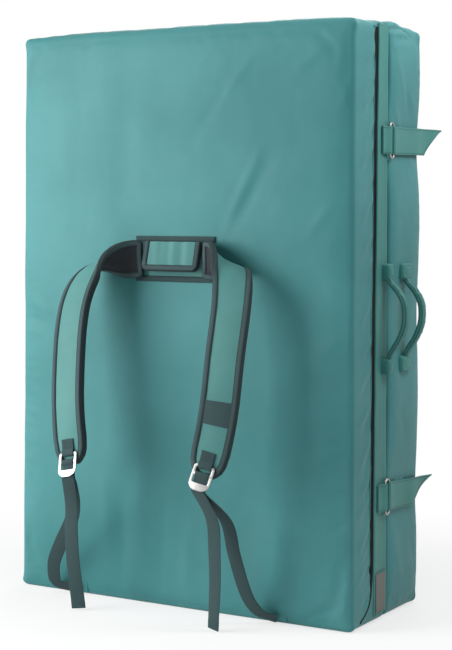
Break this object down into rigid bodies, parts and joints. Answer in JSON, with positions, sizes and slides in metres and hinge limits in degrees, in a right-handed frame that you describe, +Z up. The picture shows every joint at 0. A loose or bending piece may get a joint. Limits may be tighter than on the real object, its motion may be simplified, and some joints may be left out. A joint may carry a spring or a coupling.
{
  "type": "bouldering crash pad",
  "caption": "Folding foam landing pad stood on its short edge, with padded shoulder straps, ladder locks, carry handles and ring-and-strap closures.",
  "frame": {"origin": "middle of the front half's flat foot, on the floor", "axes": "+Z up the pad's long side, +X towards the open side with the carry handles, +Y from the harness face to the back"},
  "size_m": [0.7199, 0.4985, 1],
  "materials": {
    "base_foam": "closed-cell foam",
    "cast_metal": "pale satin cast metal",
    "closure_tape": "hook-and-loop tape",
    "coated_fabric": "matte coated woven polyester with a fine plain weave",
    "core_foam": "open-cell foam",
    "firm_foam": "closed-cell foam",
    "label": "plain woven patch",
    "lining": "soft open spacer mesh",
    "webbing": "dense woven polyester webbing"
  },
  "bodies": {
    "front_half": {"front_base_foam": "base_foam", "front_closure_tape": "closure_tape", "front_core_foam": "core_foam", "front_cover": "coated_fabric", "front_firm_foam": "firm_foam", "front_handle_bottom_patch": "coated_fabric", "front_handle_top_patch": "coated_fabric", "front_landing_sheet": "coated_fabric", "front_slot_flap": "coated_fabric", "yoke_bottom_webbing": "webbing", "yoke_panel": "coated_fabric", "yoke_top_webbing": "webbing", "fold_hinge_strip": "coated_fabric", "side_label_patch": "label", "left_anchor_tab": "webbing", "right_anchor_tab": "webbing", "left_standing_webbing": "webbing", "right_standing_webbing": "webbing", "upper_ring_loop": "webbing", "lower_ring_loop": "webbing"},
    "rear_half": {"rear_base_foam": "base_foam", "rear_core_foam": "core_foam", "rear_cover": "coated_fabric", "rear_firm_foam": "firm_foam", "rear_handle_bottom_patch": "coated_fabric", "rear_handle_top_patch": "coated_fabric", "rear_landing_sheet": "coated_fabric", "upper_strap_root": "coated_fabric", "lower_strap_root": "coated_fabric"},
    "yoke_flap": {"yoke_flap_pad": "coated_fabric", "yoke_flap_binding": "webbing"},
    "front_handle": {"front_carry_handle": "coated_fabric"},
    "rear_handle": {"rear_carry_handle": "coated_fabric"},
    "left_shoulder": {"left_shoulder_binding": "webbing", "left_shoulder_cover": "coated_fabric", "left_shoulder_foam": "firm_foam", "left_shoulder_lining": "lining", "left_lock_tab": "webbing"},
    "left_lock": {"left_ladder_lock": "cast_metal"},
    "left_tail": {"left_tail_webbing": "webbing"},
    "right_shoulder": {"right_shoulder_band": "webbing", "right_shoulder_binding": "webbing", "right_shoulder_cover": "coated_fabric", "right_shoulder_foam": "firm_foam", "right_shoulder_lining": "lining", "right_lock_tab": "webbing"},
    "right_lock": {"right_ladder_lock": "cast_metal"},
    "right_tail": {"right_tail_webbing": "webbing"},
    "upper_ring": {"upper_ring": "cast_metal"},
    "upper_strap": {"upper_closure_strap": "coated_fabric", "upper_grip_tape": "closure_tape"},
    "lower_ring": {"lower_ring": "cast_metal"},
    "lower_strap": {"lower_closure_strap": "coated_fabric", "lower_grip_tape": "closure_tape"}
  },
  "joints": [
    {"name": "fold_hinge", "type": "hinge", "parent": "front_half", "child": "rear_half", "pos_m": [-0.3383, 0.0655, 0.5], "axis": [0, 0, 1], "range_deg": [0, 180], "deforming": ["fold_hinge_strip"]},
    {"name": "flap_seam", "type": "hinge", "parent": "front_half", "child": "yoke_flap", "pos_m": [0, -0.0798, 0.6332], "axis": [-1, 0, 0], "range_deg": [-8, 100], "stiffness_Nm_per_rad": 0.15},
    {"name": "left_strap_seam", "type": "hinge", "parent": "front_half", "child": "left_shoulder", "pos_m": [-0.062, -0.07662, 0.604], "axis": [0, 0, 1], "range_deg": [0, 24], "stiffness_Nm_per_rad": 0.4, "deforming": ["left_standing_webbing"]},
    {"name": "left_lock_pivot", "type": "hinge", "parent": "left_shoulder", "child": "left_lock", "pos_m": [-0.13638, -0.19655, 0.27305], "axis": [-0.9783, 0.0458, -0.2021], "range_deg": [0, 26]},
    {"name": "left_tail_pivot", "type": "hinge", "parent": "left_lock", "child": "left_tail", "pos_m": [-0.12901, -0.2079, 0.2348], "axis": [-0.9783, 0.0458, -0.2021], "range_deg": [-5, 45], "deforming": ["left_tail_webbing"]},
    {"name": "right_strap_seam", "type": "hinge", "parent": "front_half", "child": "right_shoulder", "pos_m": [0.062, -0.07662, 0.604], "axis": [0, 0, -1], "range_deg": [0, 24], "stiffness_Nm_per_rad": 0.4, "deforming": ["right_standing_webbing"]},
    {"name": "right_lock_pivot", "type": "hinge", "parent": "right_shoulder", "child": "right_lock", "pos_m": [0.13638, -0.19655, 0.27305], "axis": [-0.9783, -0.0458, 0.2021], "range_deg": [0, 26]},
    {"name": "right_tail_pivot", "type": "hinge", "parent": "right_lock", "child": "right_tail", "pos_m": [0.12901, -0.2079, 0.2348], "axis": [-0.9783, -0.0458, 0.2021], "range_deg": [-5, 45], "deforming": ["right_tail_webbing"]},
    {"name": "front_handle_swing", "type": "hinge", "parent": "front_half", "child": "front_handle", "pos_m": [0.34713, 0.053, 0.506], "axis": [0, 0, -1], "range_deg": [-25, 75], "stiffness_Nm_per_rad": 0.06},
    {"name": "rear_handle_swing", "type": "hinge", "parent": "rear_half", "child": "rear_handle", "pos_m": [0.34563, 0.124, 0.506], "axis": [0, 0, 1], "range_deg": [-25, 75], "stiffness_Nm_per_rad": 0.06},
    {"name": "upper_ring_pivot", "type": "hinge", "parent": "front_half", "child": "upper_ring", "pos_m": [0.3425, 0.062, 0.808], "axis": [0, 0, -1], "range_deg": [0, 60]},
    {"name": "upper_strap_turn", "type": "hinge", "parent": "upper_ring", "child": "upper_strap", "pos_m": [0.3425, 0.077, 0.808], "axis": [0, 0, -1], "range_deg": [0, 75]},
    {"name": "lower_ring_pivot", "type": "hinge", "parent": "front_half", "child": "lower_ring", "pos_m": [0.3425, 0.049, 0.206], "axis": [0, 0, -1], "range_deg": [0, 60]},
    {"name": "lower_strap_turn", "type": "hinge", "parent": "lower_ring", "child": "lower_strap", "pos_m": [0.3425, 0.064, 0.206], "axis": [0, 0, -1], "range_deg": [0, 75]}
  ]
}
